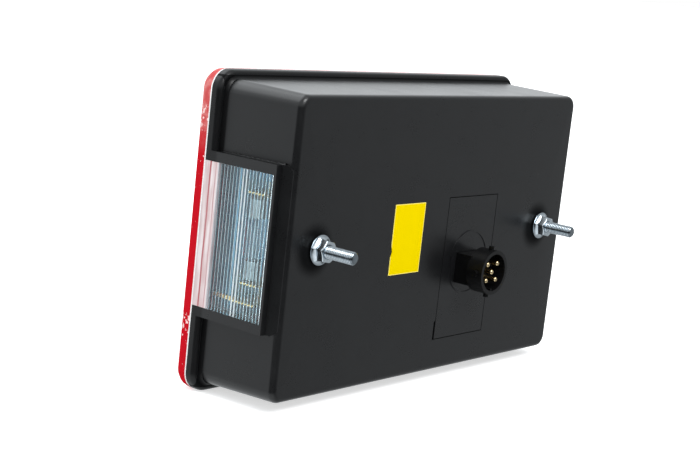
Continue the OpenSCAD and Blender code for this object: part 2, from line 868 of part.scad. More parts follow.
module indicator_strip() {
    start = pin_at(1);
    color([0.82, 0.58, 0.25])
    lamp_frame() {
        strip([start, [bulb_x[0], start[1]], [bulb_x[0], holder_low - 2]]);
        blade(bulb_x[0], 6);
    }
}

module stop_strip() {
    start = pin_at(0);
    // The strip goes down beside the bulb's middle, clear of the pins.
    drop = max(bulb_x[1] - blade_shift, socket_x + pin_pitch + (pin_d + strip_w) / 2 + 0.6);
    color([0.82, 0.58, 0.25])
    lamp_frame() {
        strip([start, [drop, start[1]], [drop, holder_low - 2]]);
        blade(drop, 3);
    }
}

module tail_strip() {
    start = pin_at(2);
    drop = bulb_x[1] + blade_shift;
    top = festoon_z + festoon_half - 1;
    color([0.82, 0.58, 0.25])
    lamp_frame() {
        strip([start, [riser_x, start[1]], [riser_x, top], [carrier_end - strip_w / 2, top]]);
        strip([[drop, start[1]], [drop, holder_low - 2]]);
        blade(drop, 3);
    }
}

module fog_strip() {
    start = pin_at(3);
    color([0.82, 0.58, 0.25])
    lamp_frame() {
        strip([start, [start[0], fog_low], [bulb_x[2], fog_low], [bulb_x[2], holder_low - 2]]);
        blade(bulb_x[2], 6);
    }
}

housing();
lens_red();
lens_amber();
reflex_reflector();
lens_seal();
plate_window();
socket_plate();
bayonet_socket();
pin_carrier();
socket_seal();
for (i = [0 : 4])
    contact_pin(i);
stud(-1);  // stud_left
stud(1);  // stud_right
flange_nut(-1);  // flange_nut_left
flange_nut(1);  // flange_nut_right
label();
for (i = [0 : 3])
    lens_screw(i % 2 == 0 ? -1 : 1, i < 2 ? 1 : -1);
bulb_carrier();
holder(bulb_x[0]);  // indicator_holder
holder(bulb_x[1]);  // stop_tail_holder
holder(bulb_x[2]);  // fog_holder
bulb_base(bulb_x[0]);  // indicator_bulb_base
bulb_glass(bulb_x[0]);  // indicator_bulb_glass
bulb_base(bulb_x[1]);  // stop_tail_bulb_base
bulb_glass(bulb_x[1]);  // stop_tail_bulb_glass
bulb_base(bulb_x[2]);  // fog_bulb_base
bulb_glass(bulb_x[2]);  // fog_bulb_glass
plate_bulb_glass();
plate_bulb_cap(1);  // plate_bulb_cap_upper
plate_bulb_cap(-1);  // plate_bulb_cap_lower
plate_contact_upper();
plate_contact_lower();
earth_strip();
indicator_strip();
stop_strip();
tail_strip();
fog_strip();
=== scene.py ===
"""Looks of a rear combination lamp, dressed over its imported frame. Lengths are in metres."""

import json
import math

import bpy
import numpy as np
from bpy.props import FloatProperty, FloatVectorProperty, IntProperty, PointerProperty
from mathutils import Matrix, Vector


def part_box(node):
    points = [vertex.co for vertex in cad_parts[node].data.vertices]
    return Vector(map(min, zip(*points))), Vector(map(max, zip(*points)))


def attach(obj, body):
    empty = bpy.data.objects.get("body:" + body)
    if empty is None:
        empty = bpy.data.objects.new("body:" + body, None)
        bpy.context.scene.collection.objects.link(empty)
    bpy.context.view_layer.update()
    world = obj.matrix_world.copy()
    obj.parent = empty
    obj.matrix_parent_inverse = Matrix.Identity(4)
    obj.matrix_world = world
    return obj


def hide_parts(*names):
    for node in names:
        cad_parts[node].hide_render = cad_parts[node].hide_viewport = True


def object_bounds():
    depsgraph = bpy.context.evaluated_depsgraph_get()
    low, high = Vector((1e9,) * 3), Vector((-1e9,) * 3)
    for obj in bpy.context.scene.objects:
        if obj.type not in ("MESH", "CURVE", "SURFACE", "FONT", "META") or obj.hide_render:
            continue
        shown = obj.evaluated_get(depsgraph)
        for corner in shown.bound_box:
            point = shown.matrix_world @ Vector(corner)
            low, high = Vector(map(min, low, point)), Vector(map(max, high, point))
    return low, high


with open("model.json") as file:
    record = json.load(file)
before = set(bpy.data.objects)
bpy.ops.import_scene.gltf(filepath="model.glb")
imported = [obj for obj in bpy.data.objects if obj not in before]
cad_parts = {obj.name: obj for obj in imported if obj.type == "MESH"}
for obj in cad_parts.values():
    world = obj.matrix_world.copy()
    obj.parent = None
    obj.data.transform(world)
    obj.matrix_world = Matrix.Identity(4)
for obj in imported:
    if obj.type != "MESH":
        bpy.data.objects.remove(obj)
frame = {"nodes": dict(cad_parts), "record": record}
CAD_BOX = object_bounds()

bl_info = {
    "name": "Rear Combination Lamp",
    "version": (1, 0, 0),
    "blender": (4, 5, 0),
    "location": "3D View > Sidebar > Rear Lamp",
    "description": "Dresses the packed frame of a rear combination lamp with its finishes",
    "category": "Object",
}

MM = 0.001
BODY = "root"
PINS = [f"contact_pin_{i}" for i in range(1, 6)]
SCREWS = [f"lens_screw_{i}" for i in range(1, 5)]
BULBS = ["indicator", "stop_tail", "fog"]
STRIPS = ["earth_strip", "indicator_strip", "stop_strip", "tail_strip", "fog_strip"]
SLOT_OF = {part["node"]: part["material_slot"] for part in frame["record"]["subparts"]}
SLOT_COLOUR = {m["slot"]: tuple(m["base_color"][:3]) for m in frame["record"]["materials"]}

STUD_R = 2.5 * MM
ACRYLIC_IOR = 1.49
FACE_COSINE = 0.7  # a face whose normal has a larger Y than this counts as front or back

# Tints of wear, shade and light beside the record's colours.
WHITE = (1.0, 1.0, 1.0)
DUST = (0.3, 0.3, 0.3)
TOP_PALE_RED = (0.72, 0.32, 0.3)
GLINT_RED = (0.85, 0.6, 0.58)
CUBE_GLINT_RED = (1.0, 0.3, 0.25)
PALE_TEAL = (0.62, 0.9, 1.0)
DULL_PINK = (0.66, 0.49, 0.49)
PALE_PINK = (0.84, 0.76, 0.76)
JOINT_RED = (0.42, 0.05, 0.06)
SHADED_ZINC = (0.12, 0.15, 0.17)
SHADED_TEAL = (0.0, 0.06, 0.1)
CUT_YELLOW = (1.0, 0.9, 0.35)
ROOM_AIR = (0.94, 0.975, 1.0)

# Where things lie in the shared frame.
FLUTE_MARGIN = 1.0 * MM  # plain strip at each end of the window
BRIGHT_LINES_Y = -21.6 * MM  # middle of the two bright lines in the window
FRONT_Y = -33.4 * MM  # where the window starts to show the lens joint
WIDE_RED_Y = -38.1 * MM  # red lines of that joint
THIN_RED_Y = -35.3 * MM
CHAMBER_Y = -27.2 * MM  # the carrier is painted in shade beyond this, just past its plate
GLINT_X = 90 * MM  # the lens rim has more painted glints beyond this, on the window's side
FRAME_RAIL = 3.9 * MM  # height of the window frame's rails beyond the window
FLASH_X = 94.05 * MM  # just outside the housing's side wall at the rear face
WALL_SPREAD = 1.2 / 37  # how far that wall spreads with depth


def corners(node):
    """Lowest and highest corner of a CAD node as arrays."""
    low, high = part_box(node)
    return np.array(low), np.array(high)


def own_colour(label, text, default):
    """Colour property with a default of its own."""
    return FloatVectorProperty(
        name=label, description=text, default=default, subtype="COLOR", size=3, min=0, max=1
    )


def colour(slot, label, text, factor=1.0):
    """Colour property whose default is the record's colour of a slot, darkened by a factor."""
    return own_colour(label, text, [c * factor for c in SLOT_COLOUR[slot]])


def angle(label, text, default):
    """Angle property with a default in degrees."""
    return FloatProperty(name=label, description=text, default=math.radians(default), unit="ROTATION")


def length(label, text, default):
    """Length property with a default in millimetres."""
    return FloatProperty(
        name=label, description=text, default=default * MM, min=0, unit="LENGTH", precision=5
    )


class LampSizes(bpy.types.PropertyGroup):
    """Sizes of the detail that the frame leaves plain."""

    thread_pitch: length("Thread pitch", "Distance between two turns of a stud's thread", 0.8)
    thread_depth: length("Thread depth", "Depth of the groove of a stud's thread", 0.42)
    neck: length("Neck radius", "Radius of a stud inside the housing wall", 2.8)
    nut_collar: length("Nut collar height", "Height at which a nut's dish meets its hexagon", 2.0)
    left_turn: angle("Left nut", "Turn of the left nut's hexagon", -18)
    right_turn: angle("Right nut", "Turn of the right nut's hexagon", -18)
    window_wall: length("Window wall", "Thickness of the window without its flutes", 2.2)
    flutes: IntProperty(
        name="Flutes", description="Number of flutes across the window", default=20, min=4
    )
    flute_share: FloatProperty(
        name="Flute share", description="Relief of a flute as a share of the frame's", default=0.6
    )
    glass_wall: length("Glass wall", "Thickness of a bulb's glass", 0.5)
    bulb_neck: length("Bulb neck", "Radius of a main bulb's glass where it leaves the base", 6.5)
    coil: length("Filament coil", "Radius of a filament's coil", 0.55)
    wire: length("Filament wire", "Radius of a filament's wire", 0.11)
    grain: length("Plastic grain", "Size of the grain of the black plastic", 0.45)
    pillow: length("Lens pillow", "Distance between the pillows inside the lens", 6.0)


class LampColours(bpy.types.PropertyGroup):
    """Colours of the lamp's finishes."""

    housing: colour("housing_plastic", "Housing", "Black plastic of the housing", 0.12)
    plate: colour("plate_plastic", "Socket plate", "Black plastic of the inset plate", 0.13)
    socket: colour("socket_plastic", "Socket", "Deep black plastic of the socket", 0.2)
    rubber: colour("black_rubber", "Rubber", "Black rubber of the socket's seal")
    seal: colour("white_seal", "Lens seal", "White foam between lens and flange")
    red: colour("red_lens", "Red lens", "Red plastic of the lens")
    amber: colour("amber_lens", "Amber lens", "Amber plastic of the indicator field")
    reflex: colour("reflex_red", "Reflector", "Red plastic of the reflex reflector")
    window: own_colour("Window", "Clear plastic of the number plate window", (0.8, 0.95, 1.0))
    pin: colour("pin_brass", "Pins", "Brass of the contact pins")
    brass: own_colour("Brass strips", "Brass of the strips and spring contacts", (1.0, 0.62, 0.25))
    zinc: colour("zinc_steel", "Zinc", "Zinc plating of studs, nuts and screws")
    label: colour("yellow_label", "Label", "Yellow paper of the label")
    carrier: colour("metallised_carrier", "Carrier", "Bright coat of the bulb carrier")
    holder: colour("holder_steel", "Holders", "Plated steel of the bulb holders")
    cap: colour("bulb_metal", "Bulb caps", "Nickel of the bulb bases and caps")
    glass: colour("bulb_glass", "Bulb glass", "Glass of the bulbs")


# Closed surfaces worked out as whole arrays.


def outward(points, faces):
    """Faces turned so that they point outward and the volume that they enclose is positive.

    The volume is a sixth of the sum of p0 . (p1 x p2) over all triangles.
    """
    triangles = [f[:, :3] for f in faces] + [f[:, [0, 2, 3]] for f in faces if f.shape[1] == 4]
    p = points[np.vstack(triangles)]
    volume = np.einsum("ij,ij->i", p[:, 0], np.cross(p[:, 1], p[:, 2])).sum()
    if volume < 0:
        faces = [f[:, ::-1] for f in faces]
    return points, faces


def skin(rings, loop=False):
    """Closed skin through rings of points, an array of rows, columns and coordinates.

    Neighbouring rings are joined by quads. The last ring joins the first where loop is true,
    and otherwise each end is closed by a fan to the mean of its ring.
    """
    rows, columns, _ = rings.shape
    index = np.arange(rows * columns).reshape(rows, columns)
    if loop:
        index = np.vstack([index, index[:1]])
    right = np.roll(index, -1, axis=1)
    quads = np.stack([index[:-1], index[1:], right[1:], right[:-1]], axis=-1).reshape(-1, 4)
    points = rings.reshape(-1, 3)
    if loop:
        return outward(points, [quads])
    first = np.full(columns, rows * columns)
    fans = np.vstack([
        np.stack([index[0], right[0], first], axis=-1),
        np.stack([right[-1], index[-1], first + 1], axis=-1),
    ])
    return outward(np.vstack([points, rings[0].mean(0), rings[-1].mean(0)]), [quads, fans])


def slab(front, back):
    """Closed solid between two grids of points of the same size, walled round their border."""
    rows, columns, _ = front.shape
    near = np.arange(rows * columns).reshape(rows, columns)
    far = near + rows * columns

    def cells(grid):
        return np.stack([grid[:-1, :-1], grid[1:, :-1], grid[1:, 1:], grid[:-1, 1:]], axis=-1)

    rim = np.concatenate([near[0, :-1], near[:-1, -1], near[-1, :0:-1], near[:0:-1, 0]])
    after = np.roll(rim, -1)
    wall = np.stack([rim, after, after + rows * columns, rim + rows * columns], axis=-1)
    quads = np.vstack([cells(near).reshape(-1, 4), cells(far).reshape(-1, 4)[:, ::-1], wall])
    return outward(np.vstack([front.reshape(-1, 3), back.reshape(-1, 3)]), [quads])


def turned(centre, along, radii, axis=1):
    """Rings round a line through centre along an axis.

    Ring i lies at centre + along[i], and its radius at angle 2 pi j / columns is radii[i, j].
    """
    columns = radii.shape[1]
    angles = np.arange(columns) * 2 * math.pi / columns
    across = [a for a in range(3) if a != axis]
    rings = np.empty(radii.shape + (3,))
    rings[..., axis] = centre[axis] + np.asarray(along)[:, None]
    rings[..., across[0]] = centre[across[0]] + radii * np.cos(angles)
    rings[..., across[1]] = centre[across[1]] + radii * np.sin(angles)
    return rings


def rounds(radii, columns):
    """The same radius all round, for each of some rings."""
    return np.repeat(np.reshape(radii, (-1, 1)), columns, axis=1)


def tube(path, radius, up, sides=8):
    """Skin round a path: circles square to it, of one radius or of one for each of its points."""
    along = np.gradient(path, axis=0)
    along /= np.linalg.norm(along, axis=1)[:, None]
    side = np.cross(along, up)
    side /= np.linalg.norm(side, axis=1)[:, None]
    other = np.cross(side, along)
    angles = np.arange(sides)[None, :, None] * 2 * math.pi / sides
    ring = side[:, None] * np.cos(angles) + other[:, None] * np.sin(angles)
    rings = path[:, None] + np.reshape(radius, (-1, 1, 1)) * ring
    return skin(rings)


def joined(*solids):
    """One set of points and faces made from several."""
    starts = np.cumsum([0] + [len(points) for points, _ in solids])
    faces = [f + start for (_, faces), start in zip(solids, starts) for f in faces]
    return np.vstack([points for points, _ in solids]), faces


def hexagon(angles, flats, sharpness=60):
    """Radius of a hexagon with soft corners: (sum of (2 cos(t - s) / flats)^p over its sides s)^(-1/p)."""
    sides = np.arange(6) * math.pi / 3
    near = np.maximum(np.cos(angles[:, None] - sides), 1e-6) * 2 / flats
    return (near ** sharpness).sum(axis=1) ** (-1 / sharpness)


def new_piece(name, solid, slot, replaces=(), crease=35):
    """Object of a closed solid that rides on the lamp, smooth across edges flatter than crease degrees."""
    points, faces = solid
    mesh = bpy.data.meshes.new(name)
    mesh.from_pydata(points.tolist(), [], [f for group in faces for f in group.tolist()])
    mesh.shade_smooth()
    mesh.set_sharp_from_angle(angle=math.radians(crease))
    piece = bpy.data.objects.new(name, mesh)
    bpy.context.scene.collection.objects.link(piece)
    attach(piece, BODY)
    if replaces:
        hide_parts(*replaces)
    mesh.materials.append(FINISHES[slot]())
    return piece


def welded(node):
    """Points and triangles of a CAD node with equal points merged, so that its curves can shade smoothly."""
    mesh = frame["nodes"][node].data
    points = np.empty(len(mesh.vertices) * 3, np.float32)
    mesh.vertices.foreach_get("co", points)
    index = np.empty(len(mesh.loops), np.int32)
    mesh.loops.foreach_get("vertex_index", index)
    merged, place = np.unique(points.reshape(-1, 3).round(7), axis=0, return_inverse=True)
    triangles = place.reshape(-1)[index].reshape(-1, 3)
    a, b, c = triangles.T
    return merged.astype(float), [triangles[(a != b) & (b != c) & (c != a)]]


def smooth_copy(node):
    """Piece in place of a CAD node: the same shape, its flats flat and its rounds smooth."""
    piece = new_piece(f"{node}_dressed", welded(node), SLOT_OF[node], [node])
    even = piece.modifiers.new("Even shading", "WEIGHTED_NORMAL")
    even.mode = "FACE_AREA_WITH_ANGLE"
    even.keep_sharp = True
    return piece


# Shader maths.

# Sockets of a Mix node that mixes colours.
MIX_A = 6
MIX_B = 7
MIX_RESULT = 2


class Wire:
    """A node's output that Python's operators work on: each operator adds one Math node."""

    def __init__(self, recipe, socket):
        self.recipe = recipe
        self.socket = socket

    def math(self, operation, *terms, clamp=False):
        """Adds a Math node on some terms."""
        return self.recipe.node(
            "ShaderNodeMath", {"operation": operation, "use_clamp": clamp}, dict(enumerate(terms))
        )

    def __add__(self, other):
        return self.math("ADD", self, other)

    def __sub__(self, other):
        return self.math("SUBTRACT", self, other)

    def __rsub__(self, other):
        return self.math("SUBTRACT", other, self)

    def __mul__(self, other):
        return self.math("MULTIPLY", self, other)

    def __gt__(self, other):
        return self.math("GREATER_THAN", self, other)

    def __lt__(self, other):
        return self.math("LESS_THAN", self, other)

    def __abs__(self):
        return self.math("ABSOLUTE", self)

    __radd__ = __add__
    __rmul__ = __mul__

    def larger(self, other, clamp=False):
        """The larger of two values, kept between 0 and 1 where clamp is true."""
        return self.math("MAXIMUM", self, other, clamp=clamp)

    def smaller(self, other):
        """The smaller of two values."""
        return self.math("MINIMUM", self, other)

    def fraction(self):
        """What the value has over the last whole number."""
        return self.math("FRACT", self)

    def root(self):
        """Square root of the value."""
        return self.math("SQRT", self)

    def within(self, middle, half):
        """1 where the value lies within half of middle, and 0 elsewhere."""
        return abs(self - middle) < half

    def rise(self, low, high):
        """0 below low and 1 above high, with a soft step between."""
        return self.recipe.node(
            "ShaderNodeMapRange",
            {"interpolation_type": "SMOOTHSTEP"},
            {"Value": self, "From Min": low, "From Max": high},
        )


class Recipe:
    """Node tree of one finish."""

    def __init__(self, tree):
        self.tree = tree
        tree.nodes.clear()

    def node(self, kind, settings=None, sockets=None, output=0):
        """Adds one node: its settings first, then the values and links of its sockets."""
        made = self.tree.nodes.new(kind)
        for name, value in (settings or {}).items():
            setattr(made, name, value)
        for key, value in (sockets or {}).items():
            if isinstance(value, Wire):
                self.tree.links.new(value.socket, made.inputs[key])
            else:
                made.inputs[key].default_value = value
        return None if output is None else Wire(self, made.outputs[output])

    def place(self, stretch=(1, 1, 1)):
        """Object coordinates, each scaled by its stretch."""
        where = self.node("ShaderNodeTexCoord", output="Object")
        if stretch == (1, 1, 1):
            return where
        return self.node("ShaderNodeVectorMath", {"operation": "MULTIPLY"}, {0: where, 1: stretch})

    def axis(self, letter):
        """One of the object coordinates."""
        return self.node("ShaderNodeSeparateXYZ", None, {0: self.place()}, output=letter)

    def noise(self, size, detail, stretch=(1, 1, 1)):
        """Cloudy value about 0.5 with lumps of a size."""
        return self.node(
            "ShaderNodeTexNoise", None, {"Vector": self.place(stretch), "Scale": 1 / size, "Detail": detail}
        )

    def specks(self, size, spacing, share):
        """1 on round specks of a size, in that share of the cells a spacing apart."""
        sockets = {"Vector": self.place(), "Scale": 1 / spacing}
        reach = self.node("ShaderNodeTexVoronoi", None, sockets, output="Distance")
        cell = self.node("ShaderNodeTexVoronoi", None, sockets, output="Color")
        chance = self.node("ShaderNodeSeparateColor", None, {0: cell})
        return (reach < size / spacing) * (chance < share)

    def blend(self, mask, low, high):
        """Colour low where mask is 0 and high where it is 1."""
        return self.node(
            "ShaderNodeMix",
            {"data_type": "RGBA"},
            {0: mask, MIX_A: opaque(low), MIX_B: opaque(high)},
            output=MIX_RESULT,
        )

    def tone(self, colour, factor):
        """A colour or wire made darker or lighter by a wire."""
        return self.node(
            "ShaderNodeMix",
            {"data_type": "RGBA", "blend_type": "MULTIPLY"},
            {0: 1.0, MIX_A: opaque(colour), MIX_B: factor},
            output=MIX_RESULT,
        )

    def bump(self, height, depth, strength=1.0):
        """Normal of a relief whose height, from 0 to 1, stands for a depth."""
        return self.node(
            "ShaderNodeBump", None, {"Strength": strength, "Distance": depth, "Height": height}
        )

    def surface(self, **sockets):
        """Principled shader; an underscore in a name stands for a space."""
        named = {name.replace("_", " "): value for name, value in sockets.items()}
        for name in ("Base Color", "Emission Color"):
            if name in named:
                named[name] = opaque(named[name])
        return self.node("ShaderNodeBsdfPrincipled", None, named)

    def mixed(self, mask, low, high):
        """Shader low where mask is 0 and high where it is 1."""
        return self.node("ShaderNodeMixShader", None, {0: mask, 1: low, 2: high})

    def see_through(self, shader, tint):
        """Lets direct light pass a clear shader as through tinted film."""
        shadow = self.node("ShaderNodeLightPath", output="Is Shadow Ray")
        film = self.node("ShaderNodeBsdfTransparent", None, {0: opaque(tint)})
        return self.mixed(shadow, shader, film)

    def put_out(self, shader, kind="ShaderNodeOutputMaterial"):
        """Ends the tree in its output."""
        self.node(kind, None, {"Surface": shader}, output=None)


def opaque(value):
    """A colour of three numbers with full alpha; a wire stays as it is."""
    return value if isinstance(value, Wire) else (*value[:3], 1.0)


def shade(value, factor):
    """A colour made darker or lighter."""
    return tuple(min(1.0, c * factor) for c in value[:3])


FINISHES = {}


def finish(slot):
    """Files a function that returns a shader as the finish of a slot, whose material it makes once."""

    def wrap(build):
        name = f"{slot}_finish"

        def make():
            if name not in bpy.data.materials:
                material = bpy.data.materials.new(name)
                material.use_nodes = True
                recipe = Recipe(material.node_tree)
                recipe.put_out(build(recipe, bpy.context.scene.lamp_colours))
            return bpy.data.materials[name]

        FINISHES[slot] = make
        return build

    return wrap


def black_plastic(r, base, rough, dust, gloss=0.5):
    """Satin black moulding: fine grain, cloudy gloss and a few light specks of dust."""
    grain = r.noise(bpy.context.scene.lamp_sizes.grain, 2)
    cloud = r.noise(14 * MM, 4)
    speck = r.specks(0.22 * MM, 7 * MM, dust)
    tone = r.blend(cloud.rise(0.3, 0.7), shade(base, 0.88), shade(base, 1.1))
    return r.surface(
        Base_Color=r.blend(speck, tone, DUST),
        Roughness=rough + (cloud - 0.5) * 0.12 + (grain - 0.5) * 0.1,
        Specular_IOR_Level=gloss,
        Normal=r.bump(grain, 0.01 * MM, 0.6),
    )


def from_stud(r, aside=0.0):
    """Distance from the axis of the nearer stud, or from lines that lie aside of both towards +X."""
    low, high = corners("stud_left")
    middle = (low + high) / 2
    across = abs(r.axis("X") - aside) - abs(middle[0])
    up = r.axis("Z") - middle[2]
    return (across * across + up * up).root()


@finish("housing_plastic")
def housing_plastic(r, colours):
    """Black moulding, darker and less glossy as painted shade in the gutter behind the flange and as a
    painted shadow beside the nuts.
    """
    low, high = corners("housing")
    lip = 2.0 * MM
    narrow = (abs(r.axis("X")) < high[0] - lip) * (abs(r.axis("Z")) < high[2] - lip)
    gutter_mouth = low[1] + 6.5 * MM
    gutter_floor = low[1] + 4.6 * MM
    # painted shade in the gutter behind the flange, fainter on the flange's rounds
    gutter = r.axis("Y").rise(gutter_mouth, gutter_floor) * (narrow * 0.6 + 0.35)
    # painted shadow on the +X side of each nut
    beside = from_stud(r, aside=3 * MM).rise(12 * MM, 6 * MM) * 0.95
    satin = black_plastic(r, colours.housing, 0.3, 0.1)
    # the painted shade: darker base, rougher and almost without gloss
    painted_shade = r.surface(Base_Color=shade(colours.housing, 0.4), Roughness=0.6, Specular_IOR_Level=0.05)
    return r.mixed(gutter.larger(beside), satin, painted_shade)


@finish("plate_plastic")
def plate_plastic(r, colours):
    return black_plastic(r, colours.plate, 0.29, 0.05)


@finish("socket_plastic")
def socket_plastic(r, colours):
    return black_plastic(r, colours.socket, 0.36, 0.05, 0.3)


@finish("black_rubber")
def black_rubber(r, colours):
    return black_plastic(r, colours.rubber, 0.7, 0.0, 0.3)


@finish("white_seal")
def white_seal(r, colours):
    """Foam strip with open pores."""
    pores = r.noise(0.5 * MM, 3)
    return r.surface(
        Base_Color=r.blend(pores.rise(0.35, 0.6), shade(colours.seal, 0.82), colours.seal),
        Roughness=0.8 + (pores - 0.5) * 0.2,
        Normal=r.bump(pores, 0.08 * MM),
    )


def lens_plastic(r, base, film):
    """Clear tinted moulding with pillows inside its face, whose thick rim shows its full colour.

    A pillow is the product of 1 - w^2 along X and along Z, where w runs from -1 to 1 over a pitch,
    and its seams are darker. The rim is paler towards the top and carries painted glints, more of them in
    two bands on the window's side.
    """
    pitch = bpy.context.scene.lamp_sizes.pillow
    normal = r.node("ShaderNodeNewGeometry", output="True Normal")
    facing = r.node("ShaderNodeSeparateXYZ", None, {0: normal}, output="Y")
    inner = facing > FACE_COSINE
    rim = abs(facing) < FACE_COSINE
    waves = []
    for letter in "XZ":
        wave = ((r.axis(letter) * (1 / pitch)).fraction() - 0.5) * 2
        waves.append(1 - wave * wave)
    pillow = waves[0] * waves[1] * inner
    seam = (1 - waves[0].smaller(waves[1]).rise(0.0, 0.4)) * inner
    cloud = r.noise(3 * MM, 3)
    glossy = r.surface(
        Base_Color=r.tone(base, 1 - seam * 0.4),
        Roughness=0.06 + (cloud - 0.5) * 0.05,
        IOR=ACRYLIC_IOR,
        Transmission_Weight=0.75,
        Normal=r.bump(pillow, 0.8 * MM),
    )
    height = r.axis("Z")
    # painted glints on the rim: a few everywhere, more in two bands of height on the window's side
    glint_bands = height.within(43.5 * MM, 5 * MM) + height.within(-36 * MM, 3.5 * MM)
    rim_glints = (r.noise(1.6 * MM, 4) + glint_bands * (r.axis("X") > GLINT_X) * 0.15).rise(0.7, 0.74)
    # the rim turns paler towards its top
    paler_top = height.rise(28 * MM, 50 * MM) * (0.25 + cloud.rise(0.35, 0.65) * 0.45)
    tone = r.blend(paler_top, shade(base, 0.8), TOP_PALE_RED)
    full = r.surface(
        Base_Color=r.blend(rim_glints, tone, GLINT_RED), Roughness=0.6, Specular_IOR_Level=0.0
    )
    return r.see_through(r.mixed(rim, glossy, full), film)


@finish("red_lens")
def red_lens(r, colours):
    return lens_plastic(r, colours.red, (0.9, 0.1, 0.1))


@finish("amber_lens")
def amber_lens(r, colours):
    return lens_plastic(r, colours.amber, (0.95, 0.5, 0.15))


@finish("reflex_red")
def reflex_red(r, colours):
    """Corner cubes: the highest of three saw-tooth waves a third of a turn apart; their peaks carry a
    painted glint.
    """
    pitch = 2.4 * MM
    waves = []
    for turn in (0, 2, 4):
        bearing = turn * math.pi / 3
        run = r.axis("X") * (math.cos(bearing) / pitch) + r.axis("Z") * (math.sin(bearing) / pitch)
        waves.append(run.fraction())
    cubes = waves[0].larger(waves[1]).larger(waves[2])
    # painted glint on the peaks of the cubes
    glossy = r.surface(
        Base_Color=r.blend(cubes.rise(0.6, 1.0), shade(colours.reflex, 0.6), CUBE_GLINT_RED),
        Roughness=0.12 + cubes * 0.05,
        IOR=ACRYLIC_IOR,
        Transmission_Weight=0.4,
        Normal=r.bump(cubes, 0.8 * MM),
    )
    return r.see_through(glossy, (0.8, 0.1, 0.1))


@finish("clear_window")
def clear_window(r, colours):
    """Clear moulding whose front end picks up the white and red of the lens joint.

    The valleys between the flutes catch the light as pale lines, two of them brighter than the rest.
    """
    sizes = bpy.context.scene.lamp_sizes
    low, high = corners("plate_window")
    pitch = (high[1] - low[1] - 2 * FLUTE_MARGIN) / sizes.flutes
    depth = r.axis("Y")
    cloud = r.noise(2.2 * MM, 4, (1, 1, 0.12))
    flute = (depth - (low[1] + FLUTE_MARGIN)) * (1 / pitch)
    inside = r.axis("X") < high[0] - sizes.window_wall / 2
    bright = depth.within(BRIGHT_LINES_Y, pitch)
    valley = (abs(flute.fraction() - 0.5) + bright * 0.12).rise(0.37, 0.46) * inside
    lines = valley * (0.5 + cloud.rise(0.25, 0.6) * 0.35 + bright * 0.5)
    ridge = r.blend(bright, PALE_TEAL, WHITE)
    front = depth.rise(FRONT_Y, FRONT_Y - 1 * MM)
    drift = depth + (r.noise(16 * MM, 3, (1, 0, 1)) - 0.5) * (0.7 * MM)
    wide = drift.within(WIDE_RED_Y, 0.4 * MM)
    thin = drift.within(THIN_RED_Y, 0.3 * MM)
    red = wide * (0.6 + cloud.rise(0.2, 0.6) * 0.35) + thin * cloud.rise(0.3, 0.6) * 0.6
    pale = r.blend(cloud.rise(0.35, 0.65), DULL_PINK, PALE_PINK)
    tint = r.blend(front, ridge, r.blend(red, pale, JOINT_RED))
    clear = r.surface(
        Base_Color=colours.window, Roughness=0.03, IOR=ACRYLIC_IOR, Transmission_Weight=1.0
    )
    # painted highlight lines in the valleys, and the white and red of the lens joint at the front
    light_lines_and_joint = r.surface(Base_Color=tint, Roughness=0.35 + cloud * 0.1, IOR=ACRYLIC_IOR)
    cover = lines.larger(front * 0.85, clamp=True)
    return r.see_through(r.mixed(cover, clear, light_lines_and_joint), (0.92, 0.94, 0.95))


@finish("bulb_glass")
def bulb_glass(r, colours):
    cloud = r.noise(4 * MM, 2)
    clear = r.surface(Base_Color=colours.glass, Roughness=cloud * 0.04, IOR=1.46, Transmission_Weight=1.0)
    return r.see_through(clear, (0.93, 0.95, 0.96))


def plated(r, base, rough, grain, depth):
    """Bright metal with cloudy polish and a fine grain."""
    cloud = r.noise(1.6 * MM, 4)
    fine = r.noise(grain, 3)
    return r.surface(
        Base_Color=r.tone(base, 0.86 + cloud.rise(0.3, 0.7) * 0.2),
        Metallic=1.0,
        Roughness=rough + (cloud - 0.5) * 0.12,
        Normal=r.bump(fine, depth, 0.5),
    )


@finish("zinc_steel")
def zinc_steel(r, colours):
    """Zinc plate with painted shade in the grooves of the thread and at the foot of the nuts."""
    _, nut_high = corners("flange_nut_left")
    thread = r.axis("Y") > nut_high[1]
    # painted shade in the grooves of the thread
    groove = thread * (1 - from_stud(r).rise(STUD_R - 0.35 * MM, STUD_R - 0.05 * MM))
    # painted shade at the foot of the nuts, where they meet the housing
    foot = r.axis("Y").rise(1.2 * MM, 0.4 * MM) * 0.6
    coat = r.blend((groove * 0.75).larger(foot), colours.zinc, SHADED_ZINC)
    return plated(r, coat, 0.2, 0.3 * MM, 0.004 * MM)


@finish("pin_brass")
def pin_brass(r, colours):
    return plated(r, colours.pin, 0.24, 0.15 * MM, 0.008 * MM)


@finish("strip_brass")
def strip_brass(r, colours):
    return plated(r, colours.brass, 0.35, 0.3 * MM, 0.01 * MM)


@finish("holder_steel")
def holder_steel(r, colours):
    return plated(r, colours.holder, 0.28, 0.3 * MM, 0.01 * MM)


@finish("bulb_metal")
def bulb_metal(r, colours):
    # The nickel is darkened to less than half as painted shade, for the dim inside of the housing.
    return plated(r, shade(colours.cap, 0.45), 0.3, 0.25 * MM, 0.01 * MM)


@finish("metallised_carrier")
def metallised_carrier(r, colours):
    """Vacuum-coated plastic: a mirror with a soft haze, with painted shade on the far wall of the chamber
    behind the window.
    """
    haze = r.noise(6 * MM, 4)
    # painted shade on the chamber's far wall
    chamber_shade = r.axis("Y").rise(CHAMBER_Y, CHAMBER_Y - 0.6 * MM)
    coat = r.blend(chamber_shade, shade(colours.carrier, 1.8), SHADED_TEAL)
    return r.surface(
        Base_Color=r.tone(coat, 0.85 + haze.rise(0.3, 0.7) * 0.25),
        Metallic=0.6,
        Roughness=0.3 + (haze - 0.5) * 0.16,
        Normal=r.bump(haze, 0.05 * MM),
    )


